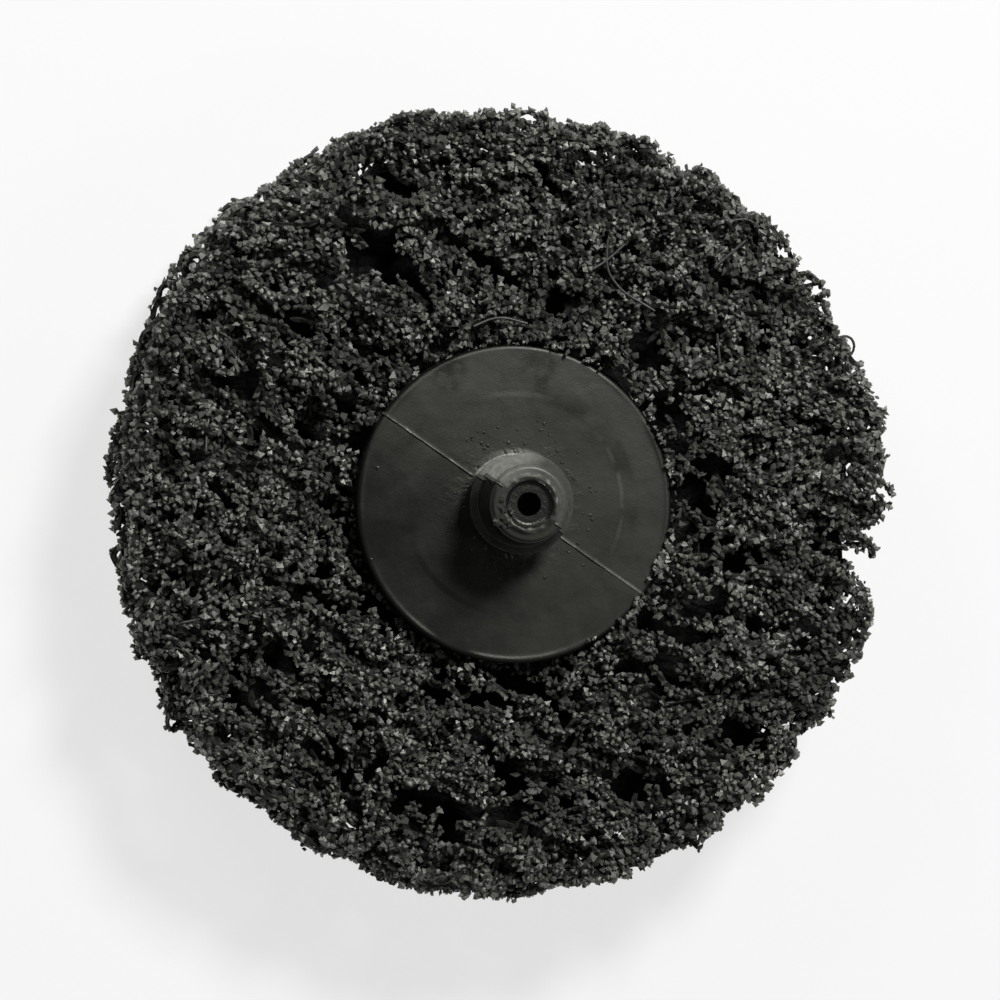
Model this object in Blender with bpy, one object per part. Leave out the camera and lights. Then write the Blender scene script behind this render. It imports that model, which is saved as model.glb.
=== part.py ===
"""Quick-change strip-and-clean sanding disc, 50 mm across.

A thick pad of open nylon web, crusted with resin and coarse grit, carries a moulded plastic button.
The button is one moulding: a thin round flange and a stubby stem with a coarse right-hand thread.
Units are metres. The disc lies on its working face at Z = 0, and its axis is Z with the stem up.
"""

import math

import bmesh
import bpy
from mathutils import Vector, noise

# Abrasive web
WEB_DIAMETER = 0.0500
WEB_OUT_OF_ROUND = 0.0011  # how much longer the pad is along Y than along X
WEB_THICKNESS = 0.0127
WEB_EDGE_RADIUS = 0.0011
BASE_SKIN = 0.00042  # height of the base's mean surface, whose highest bumps touch Z = 0
LUMP_SIZE = 0.0030  # from one clump of coated fibres to the next
LUMP_HEIGHT = 0.0007  # how far a clump stands out of the mean surface
CRUST_SIZE = 0.0012  # from one crusted lump to the next, on the clumps
CRUST_HEIGHT = 0.00035
PORE_SIZE = 0.0042  # from one pore to the next
PORE_DEPTH = 0.0020
PORE_RIM_LEVEL = 0.10  # of the noise where a pore begins: less makes more pores
PORE_FLOOR_LEVEL = 0.32  # and where it is at its full depth
STREAK_ANGLE = math.radians(-35)  # the way the fibres were laid, from +X
STREAK_RATIO = 1.7  # how much longer clumps and pores are along it
WEB_FACET = 0.00112  # edge length of the web's faces
WEB_SCATTER = 0.30  # share of that length by which a corner may lie off its row

# Moulded button: flange
FLANGE_DIAMETER = 0.0203
FLANGE_THICKNESS = 0.0016
FLANGE_PROUD = 0.0007  # how far its top face stands above the web
FLANGE_EDGE_RADIUS = 0.00025
SEAT_CLEARANCE = 0.0003  # between the button and the pocket in the web
RING_STEP_INSET = 0.0032  # a witness line of the mould, this far in from the flange's edge
RING_STEP_HEIGHT = 0.00006

# Moulded button: stem, whose top is stepped from the bore outwards
STEM_HEIGHT = 0.0058
BORE_RADIUS = 0.00076
BORE_FLOOR = 0.0032  # plastic left between the bore and the button's underside
DISH_WIDTH = 0.00080
DISH_DEPTH = 0.00035  # at the bore's mouth
DISH_RIM_DEPTH = 0.00021
LIP_WIDTH = 0.00022
LIP_HEIGHT = 0.00016
LAND_WIDTH = 0.00042
STEM_TOP_EDGE = 0.00030  # radius of the rounded top edge
STEM_TAPER = 0.00035  # how much the root's radius exceeds the top's
STEM_ROOT_FILLET = 0.00045

# Thread on the stem: one coarse right-hand ridge
THREAD_DEPTH = 0.00035  # of the crest over the stem's root
THREAD_PITCH = 0.0033
THREAD_TURNS = 1.20
THREAD_START_HEIGHT = 0.00055  # of the crest, above the flange
THREAD_START_ANGLE = math.radians(50)
THREAD_WIDTH = 0.0021  # of the ridge at its foot
THREAD_RUN_OUT = 0.20  # turns over which each end fades into the stem

# Facets of the button
BUTTON_SEGMENTS = 48
RIDGE_ROWS = 8  # mesh rows across the thread's ridge
SHARP_ANGLE = math.radians(35)

# Noise: its bumps lie two of its cells apart, and a seed moves it to another place
CELLS_PER_BUMP = 2.0
CRUST_SEED = Vector((7.0, 3.0, 1.0))
PORE_SEED = Vector((31.0, 17.0, 5.0))

# Heights and radii that follow from the sizes above
FLANGE_TOP = WEB_THICKNESS + FLANGE_PROUD
FLANGE_UNDERSIDE = FLANGE_TOP - FLANGE_THICKNESS
STEM_TOP = FLANGE_TOP + STEM_HEIGHT
DISH_RADIUS = BORE_RADIUS + DISH_WIDTH
LIP_RADIUS = DISH_RADIUS + LIP_WIDTH
STEM_TOP_RADIUS = LIP_RADIUS + LAND_WIDTH + STEM_TOP_EDGE
STEM_ROOT_RADIUS = STEM_TOP_RADIUS + STEM_TAPER
THREAD_CREST_RADIUS = STEM_ROOT_RADIUS + THREAD_DEPTH
RING_STEP_RADIUS = FLANGE_DIAMETER / 2 - RING_STEP_INSET


def clear_scene():
    for obj in list(bpy.data.objects):
        bpy.data.objects.remove(obj, do_unlink=True)


def make_material(name, colour, roughness):
    material = bpy.data.materials.new(name)
    material.use_nodes = True
    shader = material.node_tree.nodes["Principled BSDF"]
    shader.inputs["Base Color"].default_value = (*colour, 1.0)
    shader.inputs["Roughness"].default_value = roughness
    shader.inputs["Metallic"].default_value = 0.0
    return material


def make_object(name, mesh, material):
    mesh.materials.append(material)
    obj = bpy.data.objects.new(name, mesh)
    bpy.context.scene.collection.objects.link(obj)
    return obj


def smoothstep(value):
    value = min(1.0, max(0.0, value))
    return value * value * (3.0 - 2.0 * value)


def arc(centre_radius, centre_height, radius, start, end, steps):
    """Profile points along an arc, from the start angle to the end angle in degrees."""
    points = []
    for step in range(steps + 1):
        angle = math.radians(start + (end - start) * step / steps)
        points.append(
            (
                centre_radius + radius * math.cos(angle),
                centre_height + radius * math.sin(angle),
            )
        )
    return points


def divided(profile, spacing):
    """The profile with points added until no gap between two is much over the spacing."""
    points = [profile[0]]
    for start, end in zip(profile, profile[1:]):
        steps = max(1, round(math.dist(start, end) / spacing))
        for step in range(1, steps + 1):
            share = step / steps
            points.append(
                (
                    start[0] + (end[0] - start[0]) * share,
                    start[1] + (end[1] - start[1]) * share,
                )
            )
    return points


def add_ring(mesh, radius, height, count, turn):
    """Vertices round the axis, or a single one where the ring closes on it."""
    if radius < 1e-9:
        return [mesh.verts.new((0.0, 0.0, height))]
    ring = []
    for index in range(count):
        angle = math.tau * (index + turn) / count
        ring.append(mesh.verts.new((radius * math.cos(angle), radius * math.sin(angle), height)))
    return ring


def join_rings(mesh, inner, outer):
    """Triangles between two rings, which may hold different numbers of vertices."""
    i = 0
    j = 0
    while i < len(inner) or j < len(outer):
        take_outer = j < len(outer) and (
            len(inner) == 1 or i >= len(inner) or (j + 1) / len(outer) <= (i + 1) / len(inner)
        )
        a = inner[i % len(inner)]
        b = outer[j % len(outer)]
        if take_outer:
            mesh.faces.new((a, b, outer[(j + 1) % len(outer)]))
            j += 1
        elif len(inner) > 1:
            mesh.faces.new((a, b, inner[(i + 1) % len(inner)]))
            i += 1
        else:
            break


def turned_mesh(profile, ring_count, stagger=0.0):
    """A closed surface of triangles turned from a profile that starts and ends on the axis."""
    mesh = bmesh.new()
    rings = []
    for index, (radius, height) in enumerate(profile):
        rings.append(add_ring(mesh, radius, height, ring_count(radius), stagger * (index % 2)))
    for inner, outer in zip(rings, rings[1:]):
        if len(inner) <= len(outer):
            join_rings(mesh, inner, outer)
        else:
            join_rings(mesh, outer, inner)
    bmesh.ops.recalc_face_normals(mesh, faces=mesh.faces)
    return mesh


def finished(name, mesh):
    """The bmesh as mesh data, with its volume kept positive so that the faces point out."""
    if mesh.calc_volume(signed=True) < 0:
        bmesh.ops.reverse_faces(mesh, faces=mesh.faces)
    data = bpy.data.meshes.new(name)
    mesh.to_mesh(data)
    mesh.free()
    return data


def web_profile():
    """Half section of the web, from the middle of the pocket's floor out and round to the base's middle."""
    radius = WEB_DIAMETER / 2
    edge = WEB_EDGE_RADIUS
    pocket_radius = FLANGE_DIAMETER / 2 + SEAT_CLEARANCE
    pocket_floor = FLANGE_UNDERSIDE - SEAT_CLEARANCE
    profile = [
        (0.0, pocket_floor),
        (pocket_radius, pocket_floor),
        (pocket_radius, WEB_THICKNESS),
    ]
    profile += arc(radius - edge, WEB_THICKNESS - edge, edge, 90, 0, 2)
    profile += arc(radius - edge, BASE_SKIN + edge, edge, 0, -90, 2)
    profile += [(0.0, BASE_SKIN)]
    return divided(profile, WEB_FACET)


def web_relief(point):
    """How far a point of the web's skin stands out: clumps of crusted fibre, and pores between them."""
    along = point.x * math.cos(STREAK_ANGLE) + point.y * math.sin(STREAK_ANGLE)
    across = point.y * math.cos(STREAK_ANGLE) - point.x * math.sin(STREAK_ANGLE)
    streaks = Vector((along / STREAK_RATIO, across, point.z))
    clumps = noise.noise(streaks / LUMP_SIZE * CELLS_PER_BUMP)
    crust = noise.noise(point / CRUST_SIZE * CELLS_PER_BUMP + CRUST_SEED)
    pores = noise.noise(streaks / PORE_SIZE * CELLS_PER_BUMP + PORE_SEED)
    pit = smoothstep((pores - PORE_RIM_LEVEL) / (PORE_FLOOR_LEVEL - PORE_RIM_LEVEL))
    return LUMP_HEIGHT * clumps + CRUST_HEIGHT * crust - PORE_DEPTH * pit


def web_room(point):
    """0 inside the pocket's walls, 1 from a clump's height outside them: the skin is rough only there."""
    outside = math.hypot(point.x, point.y) - FLANGE_DIAMETER / 2 - SEAT_CLEARANCE
    in_pocket = point.z > FLANGE_UNDERSIDE - 2 * SEAT_CLEARANCE
    return smoothstep(outside / LUMP_HEIGHT) if in_pocket else 1.0


def roughen_web(mesh):
    """Pulls the smooth pad oval and raises its crust, with the base's highest bumps on Z = 0."""
    mesh.normal_update()
    normals = {vert: vert.normal.copy() for vert in mesh.verts}
    stretch = WEB_OUT_OF_ROUND / WEB_DIAMETER / 2
    for vert, normal in normals.items():
        place = vert.co.copy()
        oval = smoothstep((math.hypot(place.x, place.y) - FLANGE_DIAMETER / 2) / (WEB_DIAMETER / 4))
        vert.co.x *= 1.0 - stretch * oval
        vert.co.y *= 1.0 + stretch * oval
        scatter = noise.noise_vector(place / CRUST_SIZE * CELLS_PER_BUMP) * WEB_FACET * WEB_SCATTER
        vert.co += (normal * web_relief(place) + scatter) * web_room(place)
        vert.co.z = max(vert.co.z, 0.0)


def make_web(material):
    """The pad of crusted web, with a round pocket in its top that holds the button's flange."""
    mesh = turned_mesh(
        web_profile(),
        lambda radius: max(6, round(math.tau * radius / WEB_FACET)),
        stagger=0.5,
    )
    roughen_web(mesh)
    return make_object("abrasive_web", finished("abrasive_web", mesh), material)


def button_profile():
    """Half section of the button, from the middle of the bore's floor out and round to the underside's middle."""
    stem_top = [
        (0.0, FLANGE_UNDERSIDE + BORE_FLOOR),
        (BORE_RADIUS, FLANGE_UNDERSIDE + BORE_FLOOR),
        (BORE_RADIUS, STEM_TOP - DISH_DEPTH),
        ((BORE_RADIUS + DISH_RADIUS) / 2, STEM_TOP - DISH_DEPTH),
        (DISH_RADIUS, STEM_TOP - DISH_RIM_DEPTH),
        (DISH_RADIUS, STEM_TOP + LIP_HEIGHT),
        (LIP_RADIUS, STEM_TOP + LIP_HEIGHT),
        (LIP_RADIUS, STEM_TOP),
    ]
    shoulder = arc(STEM_TOP_RADIUS - STEM_TOP_EDGE, STEM_TOP - STEM_TOP_EDGE, STEM_TOP_EDGE, 90, 0, 2)
    flank = divided(
        [shoulder[-1], (STEM_ROOT_RADIUS, FLANGE_TOP + STEM_ROOT_FILLET)],
        THREAD_WIDTH / RIDGE_ROWS,
    )
    root = arc(
        STEM_ROOT_RADIUS + STEM_ROOT_FILLET,
        FLANGE_TOP + STEM_ROOT_FILLET,
        STEM_ROOT_FILLET,
        180,
        270,
        3,
    )
    radius = FLANGE_DIAMETER / 2
    edge = FLANGE_EDGE_RADIUS
    flange = [
        (RING_STEP_RADIUS, FLANGE_TOP),
        (RING_STEP_RADIUS + RING_STEP_HEIGHT, FLANGE_TOP - RING_STEP_HEIGHT),
    ]
    flange += arc(radius - edge, FLANGE_TOP - RING_STEP_HEIGHT - edge, edge, 90, 0, 2)
    flange += arc(radius - edge, FLANGE_UNDERSIDE + edge, edge, 0, -90, 1)
    return stem_top + shoulder + flank[1:-1] + root + flange + [(0.0, FLANGE_UNDERSIDE)]


def thread_share(angle, height):
    """How much of the thread's ridge stands at this angle and height above the flange, from 0 to 1."""
    share = 0.0
    first_turn = (angle - THREAD_START_ANGLE) / math.tau % 1.0
    for turn in (first_turn, first_turn + 1.0):
        if turn > THREAD_TURNS:
            continue
        away = height - THREAD_START_HEIGHT - turn * THREAD_PITCH
        ridge = smoothstep(1.0 - abs(away) / (THREAD_WIDTH / 2))
        end = min(turn, THREAD_TURNS - turn) / THREAD_RUN_OUT
        share = max(share, ridge * smoothstep(end))
    return share


def raise_thread(mesh):
    """Pushes the stem's flank out to the thread's crest along one helical ridge."""
    lowest = FLANGE_TOP + STEM_ROOT_FILLET / 2
    highest = STEM_TOP - STEM_TOP_EDGE
    for vert in mesh.verts:
        radius = math.hypot(vert.co.x, vert.co.y)
        if not lowest < vert.co.z < highest or not LIP_RADIUS < radius < THREAD_CREST_RADIUS:
            continue
        angle = math.atan2(vert.co.y, vert.co.x)
        share = thread_share(angle, vert.co.z - FLANGE_TOP)
        grown = radius + (THREAD_CREST_RADIUS - radius) * share
        vert.co.x *= grown / radius
        vert.co.y *= grown / radius


def make_button(material):
    """The moulded button: flange, threaded stem and the small hole in its top."""
    mesh = turned_mesh(button_profile(), lambda radius: BUTTON_SEGMENTS if radius > 0 else 1)
    raise_thread(mesh)
    data = finished("mounting_button", mesh)
    data.shade_smooth()
    data.set_sharp_from_angle(angle=SHARP_ANGLE)
    return make_object("mounting_button", data, material)


def main():
    clear_scene()
    crust = make_material("black_grit_and_resin", (0.020, 0.020, 0.019), 0.55)
    plastic = make_material("dark_moulded_plastic", (0.035, 0.035, 0.033), 0.48)
    make_web(crust)
    make_button(plastic)


main()
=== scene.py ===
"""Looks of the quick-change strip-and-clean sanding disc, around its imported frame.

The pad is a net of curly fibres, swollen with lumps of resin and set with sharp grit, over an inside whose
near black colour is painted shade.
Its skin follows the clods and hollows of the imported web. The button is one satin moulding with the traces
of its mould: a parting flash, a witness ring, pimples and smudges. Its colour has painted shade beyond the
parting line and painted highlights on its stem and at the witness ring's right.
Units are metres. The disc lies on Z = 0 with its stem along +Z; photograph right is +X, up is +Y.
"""

import math
from collections import Counter

import bmesh
import bpy
import numpy as np
from mathutils import Matrix, Vector
from mathutils.bvhtree import BVHTree

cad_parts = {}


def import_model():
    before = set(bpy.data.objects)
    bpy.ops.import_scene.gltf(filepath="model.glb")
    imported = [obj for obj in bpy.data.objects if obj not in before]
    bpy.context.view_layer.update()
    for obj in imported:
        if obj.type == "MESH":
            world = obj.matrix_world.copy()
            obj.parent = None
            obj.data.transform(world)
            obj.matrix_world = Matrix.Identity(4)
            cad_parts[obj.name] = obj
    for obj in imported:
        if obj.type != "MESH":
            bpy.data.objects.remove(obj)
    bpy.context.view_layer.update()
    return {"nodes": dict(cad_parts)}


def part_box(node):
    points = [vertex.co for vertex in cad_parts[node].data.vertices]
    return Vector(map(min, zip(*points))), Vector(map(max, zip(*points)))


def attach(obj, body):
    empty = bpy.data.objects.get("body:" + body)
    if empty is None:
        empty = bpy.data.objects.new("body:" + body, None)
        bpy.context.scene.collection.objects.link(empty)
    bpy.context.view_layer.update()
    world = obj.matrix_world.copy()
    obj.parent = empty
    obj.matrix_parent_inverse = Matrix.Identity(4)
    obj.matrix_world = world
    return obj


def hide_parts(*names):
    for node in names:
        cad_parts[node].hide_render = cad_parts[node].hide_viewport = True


MM = 0.001

# What the photograph fixes: scale, viewing angle and the place of the flange's centre
PIXELS_PER_METRE = 15720.0
IMAGE_SIDE = 1000
FLANGE_PIXEL = (515.0, 504.0)
VIEW_TILT = math.radians(9.0)
CAMERA_DISTANCE = 0.42

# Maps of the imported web's skin, and how far past the web's size random places are drawn
MAP_REACH = 27.0 * MM
MAP_TOP = 16.0 * MM
MAP_STEP = 0.25 * MM
MAP_ANGLES = 720
DRAWN_RADIUS = 1.04
DRAWN_HEIGHT = 1.08
INNER_SHARE = 0.4

# The pad: its rim's notches by angle and half width in degrees and by depth, and the swells between them
WEB_RADIUS = 25.0 * MM
WEB_THICKNESS = 12.7 * MM
RIM_NOTCHES = (
    (30, 4, 0.7 * MM),
    (63, 4, 0.9 * MM),
    (82, 6, 0.9 * MM),
    (246, 6, 0.4 * MM),
    (306, 3, 0.5 * MM),
    (349, 6, 1.5 * MM),
)
RIM_SWELLS = (
    (12, 8, 0.9 * MM),
    (50, 8, 0.3 * MM),
    (110, 18, 0.45 * MM),
    (142, 24, 1.0 * MM),
    (168, 12, 0.3 * MM),
    (199, 8, 0.8 * MM),
    (214, 8, 0.5 * MM),
    (277, 16, -0.5 * MM),
    (336, 10, 0.4 * MM),
)
SWELL_START = 12.0 * MM
SHELL_DEPTH = {"top": 2.2 * MM, "side": 2.0 * MM, "base": 1.5 * MM}
CORE_DEPTH = 2.5 * MM
CORE_SINK = 4.6 * MM
CORE_UNDER_BUTTON = 0.15 * MM
CORE_SPACING = 0.8 * MM
CORE_SEGMENTS = 200

# Coated fibres ("ropes"), the pores between them and the grit on them
STREAK_RATIO = 2.8
PORE_SIZE = 0.72 * MM
HOLLOW_SIZE = 1.9 * MM
PORE_LEVEL = 0.21
RIM_PORE_LEVEL = 0.62
RIM_WIDTH = 1.6 * MM
ROPE_COUNT = 4900
ROPE_RADIUS = 0.18 * MM
ROPE_SIDES = {"top": 4, "side": 4, "base": 3}
ROPE_SHORTEST = 5
ROPE_VARIETY = 0.18
ROPE_TIP = 0.45
ROPE_LUMP = 0.42 * MM
FIBRE_STEP = 0.34 * MM
FIBRE_STEPS = 30
FIBRE_SPREAD = 0.5
FIBRE_CURL = 1.8 * MM
BRIDGE = 1.0 * MM
# Depth under the skin at which the painted shade of buried ropes and grit is darkest
BURIED = 0.85 * MM
RIM_BOUND_LEFT = 0.9
RIM_BOUND_RIGHT = 0.5
BUTTON_GAP = 0.05 * MM
GRIT_RADIUS = 0.18 * MM
GRIT_CELLS = {"top": 0.33 * MM, "side": 0.41 * MM, "base": 0.46 * MM}
GRIT_SCATTER = 0.09 * MM
GRIT_SINK = 0.15
GRAIN_DENT = 0.28
GRIT_DEPTH = 1.6 * MM
ROUNDED_SHARE = 0.15
POINTED_SHARE = 0.5
CONTACT = 0.85 * MM
SMALLEST_BUNCH = 12
FACES = ("top", "side", "base")

# Grit that lies over the flange's edge at its right
OVERLAP_ANGLES = (math.radians(-60), math.radians(80))
OVERLAP_GRAINS = 120
OVERLAP_CLUSTERS = 17
OVERLAP_SPREAD = math.radians(2.5)

# Bare nylon fibres: those that the photograph shows, as X and Y in millimetres over the top, and others
BARE_FIBRE_RADIUS = 0.09 * MM
BARE_FIBRE_STARTS = 350
BARE_FIBRE_SPREAD = 0.9
BARE_FIBRE_DEPTHS = (0.15 * MM, 0.9 * MM)
BARE_FIBRE_SHORTEST = 7
BARE_FIBRES = (
    ((5.1, 15.0), (6.0, 15.5), (7.2, 16.6)),
    ((6.1, 16.9), (6.0, 15.5), (6.2, 14.6), (7.1, 13.5), (8.4, 12.8), (9.1, 12.3)),
    ((12.9, 15.0), (14.9, 16.7)),
    ((13.2, 10.9), (13.4, 9.0)),
    ((-2.6, 11.3), (-1.0, 12.0), (0.9, 11.5)),
)

# The button, as in the solids
FLANGE_THICKNESS = 1.6 * MM
FLANGE_EDGE = 0.25 * MM
RING_STEP_INSET = 3.2 * MM
RING_STEP = 0.05 * MM
DOME = 0.15 * MM
RIM_BEAD = 0.05 * MM
BORE_RADIUS = 0.76 * MM
BORE_DEPTH = 4.2 * MM
DISH_RADIUS = 1.50 * MM
DISH_DEPTH = 0.16 * MM
DISH_FLOOR_RADIUS = 1.25 * MM
LIP_RADIUS = 1.90 * MM
LIP_HEIGHT = 0.18 * MM
LIP_LOWEST = 0.15
LIP_CHUNKS = ((352, 50, 0.8), (245, 40, 0.8), (90, 40, 0.25))
STEM_TOP_RADIUS = 2.50 * MM
STEM_TOP_EDGE = 0.30 * MM
STEM_ROOT_RADIUS = 2.85 * MM
STEM_ROOT_FILLET = 0.45 * MM
THREAD_CREST_RADIUS = 3.20 * MM
THREAD_PITCH = 3.3 * MM
THREAD_TURNS = 1.285
THREAD_START_HEIGHT = 0.55 * MM
THREAD_START_ANGLE = math.radians(50)
THREAD_UNDER = 1.05 * MM
THREAD_OVER = 0.45 * MM
THREAD_RUN_IN = 0.20
THREAD_RUN_OUT = 0.02
BUTTON_SEGMENTS = 220

# Traces of the mould: the parting flash, and pimples as X and Y in millimetres over the flange
PARTING_ANGLE = math.radians(145.3)
FLASH_WIDTH = 0.26 * MM
FLASH_HEIGHT = 0.10 * MM
FLASH_SECTION = ((-0.5, -0.5), (-0.5, 0.0), (0.15, 0.8), (0.3, 1.0), (0.42, 0.8), (0.5, 0.0), (0.5, -0.5))
FLASH_END = 8.8 * MM
PIMPLES = (
    (1.7, 4.7), (2.2, 4.4), (1.9, 5.1), (-8.8, 2.3), (-9.2, -3.5), (-3.8, 0.7), (-0.4, 3.9), (4.4, -3.9),
)
PIMPLE_ANGLES = (math.radians(-75), math.radians(130))
PIMPLE_RINGS = (3.7 * MM, 5.6 * MM)
MORE_PIMPLES = 30
PIMPLE_SIZE = (0.11 * MM, 0.11 * MM, 0.022 * MM)
CRUMB_RADIUS = 0.20 * MM
CRUMB_SCATTER = 0.08 * MM
CRUMBS = (
    (-2.0, -1.0), (-1.75, -0.75), (-1.5, -0.95), (-1.6, -0.4), (-1.85, -0.1), (-1.7, 0.2),
    (-1.2, -1.3), (-1.3, -0.25), (-1.15, -0.5), (-1.95, -1.25), (-2.15, -0.8), (-1.35, -1.1),
)

# The lights: azimuth and elevation in degrees, distance and side in metres, power in watts
LIGHTS = (
    ("key", 62, 52, 0.42, 0.092, 1.86),
    ("fill", -30, 50, 0.5, 0.16, 0.20),
    ("kicker", 122, 40, 0.25, 0.05, 0.09),
)
WORLD_STRENGTH = 0.035


def smoothstep(value):
    """0 below 0, 1 above 1 and a smooth rise between them."""
    value = np.clip(value, 0.0, 1.0)
    return value * value * (3.0 - 2.0 * value)


def field(points, size, seed):
    """Smooth random values from about -1 to 1, with bumps about this size, at each point."""
    table = np.random.default_rng(seed).uniform(-1.0, 1.0, 4096)
    scaled = points / size
    cell = np.floor(scaled).astype(np.int64)
    share = smoothstep(scaled - cell)
    total = np.zeros(len(points))
    for corner in np.ndindex(2, 2, 2):
        weight = np.prod(np.where(corner, share, 1.0 - share), axis=1)
        key = (cell + corner) @ np.array([73856093, 19349663, 83492791])
        total += weight * table[key % len(table)]
    return total


def full_turn(count):
    """Angles once round, evenly spread."""
    return np.linspace(0.0, math.tau, count, endpoint=False)


def axis_distance(points):
    """How far each point is from the disc's axis."""
    return np.hypot(points[:, 0], points[:, 1])


def mesh_object(name, shape, material, smooth=False, burial=None):
    """A mesh object from a shape's points and triangles, and from how deep each point is buried.

    The shading is smooth everywhere, nowhere, or on the triangles that an array names.
    """
    points, faces = shape
    mesh = bpy.data.meshes.new(name)
    mesh.vertices.add(len(points))
    mesh.vertices.foreach_set("co", np.ascontiguousarray(points, np.float32).ravel())
    mesh.loops.add(faces.size)
    mesh.loops.foreach_set("vertex_index", np.ascontiguousarray(faces, np.int32).ravel())
    mesh.polygons.add(len(faces))
    mesh.polygons.foreach_set("loop_start", np.arange(0, faces.size, 3, dtype=np.int32))
    mesh.update(calc_edges=True)
    mesh.polygons.foreach_set("use_smooth", np.broadcast_to(smooth, len(faces)).copy())
    if burial is not None:
        values = mesh.attributes.new("burial", "FLOAT", "POINT").data
        values.foreach_set("value", np.ascontiguousarray(burial, np.float32))
    mesh.materials.append(material)
    obj = bpy.data.objects.new(name, mesh)
    bpy.context.scene.collection.objects.link(obj)
    return obj


def vertex_rows(mesh, name):
    """The places or normals of a mesh's vertices, one row each."""
    flat = np.empty(len(mesh.vertices) * 3, np.float32)
    mesh.vertices.foreach_get(name, flat)
    return flat.reshape(-1, 3).astype(float)


# The pad's skin


def between(grid, row, column):
    """Values of a grid at fractional rows and columns."""
    row = np.clip(row, 0.0, grid.shape[0] - 1.001)
    column = np.clip(column, 0.0, grid.shape[1] - 1.001)
    r = row.astype(int)
    c = column.astype(int)
    down = row - r
    along = column - c
    first = grid[r, c] * (1.0 - down) + grid[r + 1, c] * down
    second = grid[r, c + 1] * (1.0 - down) + grid[r + 1, c + 1] * down
    return first * (1.0 - along) + second * along


def around(angle, places):
    """The sum, at each angle, of smooth rises given by their middle and half width in degrees and height."""
    total = np.zeros_like(angle)
    for middle, half_width, height in places:
        away = np.abs((angle - math.radians(middle) + math.pi) % math.tau - math.pi)
        total += height * smoothstep(1.0 - away / math.radians(half_width))
    return total


class Skin:
    """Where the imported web's top, base and side lie, for many points at once."""

    def __init__(self, solid):
        mesh = bmesh.new()
        mesh.from_mesh(solid.data)
        mesh.transform(solid.matrix_world)
        self.tree = BVHTree.FromBMesh(mesh)
        mesh.free()
        places = np.arange(-MAP_REACH, MAP_REACH, MAP_STEP)
        heights = np.arange(0.0, MAP_TOP, MAP_STEP)
        angles = np.linspace(-math.pi, math.pi, MAP_ANGLES)
        self.top_map = self.level_map(places, MAP_TOP, -1, -MM)
        self.base_map = self.level_map(places, -MM, 1, MAP_TOP)
        self.rim_map = np.array([[self.rim_hit(angle, z) for z in heights] for angle in angles])

    def level_map(self, places, start, way, missed):
        """Heights at which upright rays from this height meet the web, over a square of places."""
        return np.array([[self.hit(x, y, start, way, missed) for y in places] for x in places])

    def hit(self, x, y, start, way, missed):
        """Height at which one upright ray meets the web."""
        place, _, _, _ = self.tree.ray_cast(Vector((x, y, start)), Vector((0, 0, way)))
        return missed if place is None else place.z

    def rim_hit(self, angle, z):
        """Radius at which a level ray from outside meets the web."""
        out = Vector((math.cos(angle), math.sin(angle), 0.0))
        place, _, _, _ = self.tree.ray_cast(out * MAP_REACH + Vector((0, 0, z)), -out)
        return 0.0 if place is None else max(0.0, place.dot(out))

    def top(self, x, y):
        return between(self.top_map, (x + MAP_REACH) / MAP_STEP, (y + MAP_REACH) / MAP_STEP)

    def base(self, x, y):
        return between(self.base_map, (x + MAP_REACH) / MAP_STEP, (y + MAP_REACH) / MAP_STEP)

    def rim(self, angle, z):
        """Radius of the side, with the photograph's notches cut into it."""
        turn = (angle + math.pi) / math.tau * (MAP_ANGLES - 1)
        radius = between(self.rim_map, turn, z / MAP_STEP)
        return radius - around(angle, RIM_NOTCHES)

    def depths(self, points):
        """Depths of each point under the top, the side and the base."""
        x, y, z = points.T
        side = self.rim(np.arctan2(y, x), z) - np.hypot(x, y)
        return self.top(x, y) - z, side, z - self.base(x, y)

    def depth(self, points):
        """Depth under the nearest skin."""
        return np.min(self.depths(points), axis=0)

    def outward(self, points):
        """Unit vectors out of the nearest skin, near enough, and its index in FACES."""
        radial = points / np.linalg.norm(points[:, :2], axis=1, keepdims=True)
        radial[:, 2] = 0.0
        nearest = np.argmin(np.stack(self.depths(points)), axis=0)
        way = np.zeros_like(points)
        way[nearest == 0] = (0.0, 0.0, 1.0)
        way[nearest == 1] = radial[nearest == 1]
        way[nearest == 2] = (0.0, 0.0, -1.0)
        return way, nearest

    def settled(self, points, bound):
        """The points brought under the skin, and whether each was near enough to it to stay.

        At the side, only bound points are brought in and the others are cut off, as a die cuts them.
        """
        x, y, z = points.T
        rim = self.rim(np.arctan2(y, x), z) - ROPE_RADIUS
        radius = np.hypot(x, y)
        over_rim = radius - rim
        kept = over_rim < np.where(bound, BRIDGE, 0.0)
        share = np.where(over_rim > 0.0, rim / radius, 1.0)
        x = x * share
        y = y * share
        ceiling = self.top(x, y) - ROPE_RADIUS
        floor = self.base(x, y) + ROPE_RADIUS
        kept &= (z - ceiling < BRIDGE) & (floor - z < BRIDGE) & (floor < ceiling)
        return np.stack([x, y, np.clip(z, floor, ceiling)], axis=1), kept


def streak_matrix():
    """Turns points so that noise in them is drawn out along the fibres' main direction."""
    turn = math.radians(-32.0)
    along = np.array([math.cos(turn), math.sin(turn), 0.0]) / STREAK_RATIO
    across = np.array([-math.sin(turn), math.cos(turn), 0.0])
    return np.stack([along, across, (0.0, 0.0, 1.0)], axis=1)


def flow_angle(points):
    """The way most fibres lie: slanting down to the right above, flatter below."""
    upper = smoothstep((points[:, 1] + 9 * MM) / (24 * MM))
    return np.radians(-14.0 - 30.0 * upper)


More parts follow.
